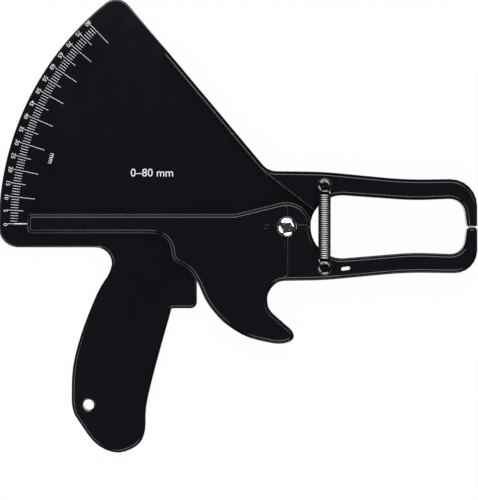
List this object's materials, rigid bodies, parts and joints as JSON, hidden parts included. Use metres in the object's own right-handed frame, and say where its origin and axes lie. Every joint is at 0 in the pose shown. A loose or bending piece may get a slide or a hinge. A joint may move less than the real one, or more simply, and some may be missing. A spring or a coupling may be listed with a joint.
{
  "type": "skinfold caliper",
  "caption": "Black plastic skinfold caliper with pistol grip, finger trigger, quarter-circle scale, spring-closed jaws and a swinging pointer.",
  "frame": {"origin": "middle of the plan of the caliper lying on its back with closed jaws, at the level of the back face", "axes": "+X toward the jaws, +Y toward the top of the scale, +Z out of the front face"},
  "size_m": [0.2654, 0.2522, 0.0222],
  "materials": {
    "body_plastic": "black ABS, moulded gloss",
    "lever_plastic": "black ABS, moulded gloss",
    "pivot_chrome": "chromed, polished",
    "spring_steel": "nickelled spring wire",
    "black_screw": "black oxide",
    "zinc_steel": "zinc plated",
    "white_nylon": "natural nylon"
  },
  "bodies": {
    "frame": {"frame_shell": "body_plastic", "handle_back_cover": "body_plastic", "cover_screw_1": "black_screw", "cover_screw_2": "black_screw", "cover_screw_3": "black_screw", "cover_screw_4": "black_screw", "upper_spring_screw": "black_screw", "pivot_screw": "pivot_chrome", "pivot_sleeve": "zinc_steel", "pivot_nut": "zinc_steel", "thrust_washer": "white_nylon"},
    "lever": {"lever": "lever_plastic", "lower_spring_screw": "black_screw"},
    "spring_top": {"tension_spring": "spring_steel", "upper_spring_washer": "zinc_steel"},
    "spring_bottom": {"lower_spring_washer": "zinc_steel"}
  },
  "joints": [
    {"name": "lever_squeeze", "type": "hinge", "parent": "frame", "child": "lever", "pos_m": [0.02725, -0.00046, 0.0121], "axis": [0, 0, -1], "range_deg": [0, 46], "stiffness_Nm_per_rad": 0.1, "springref_deg": -114.59},
    {"name": "spring_swing", "type": "hinge", "parent": "frame", "child": "spring_top", "pos_m": [0.04795, 0.02214, 0.0189], "axis": [0, 0, -1], "range_deg": [0, 23.2]},
    {"name": "spring_stretch", "type": "slide", "parent": "spring_top", "child": "spring_bottom", "axis": [0, -1, 0], "range_m": [0, 0.013], "deforming": ["tension_spring"]}
  ],
  "couplings": [
    {"joint": "spring_swing", "follows": "lever_squeeze", "ratio": 0.5},
    {"joint": "spring_stretch", "follows": "lever_squeeze", "m_per_rad": 0.01568}
  ]
}
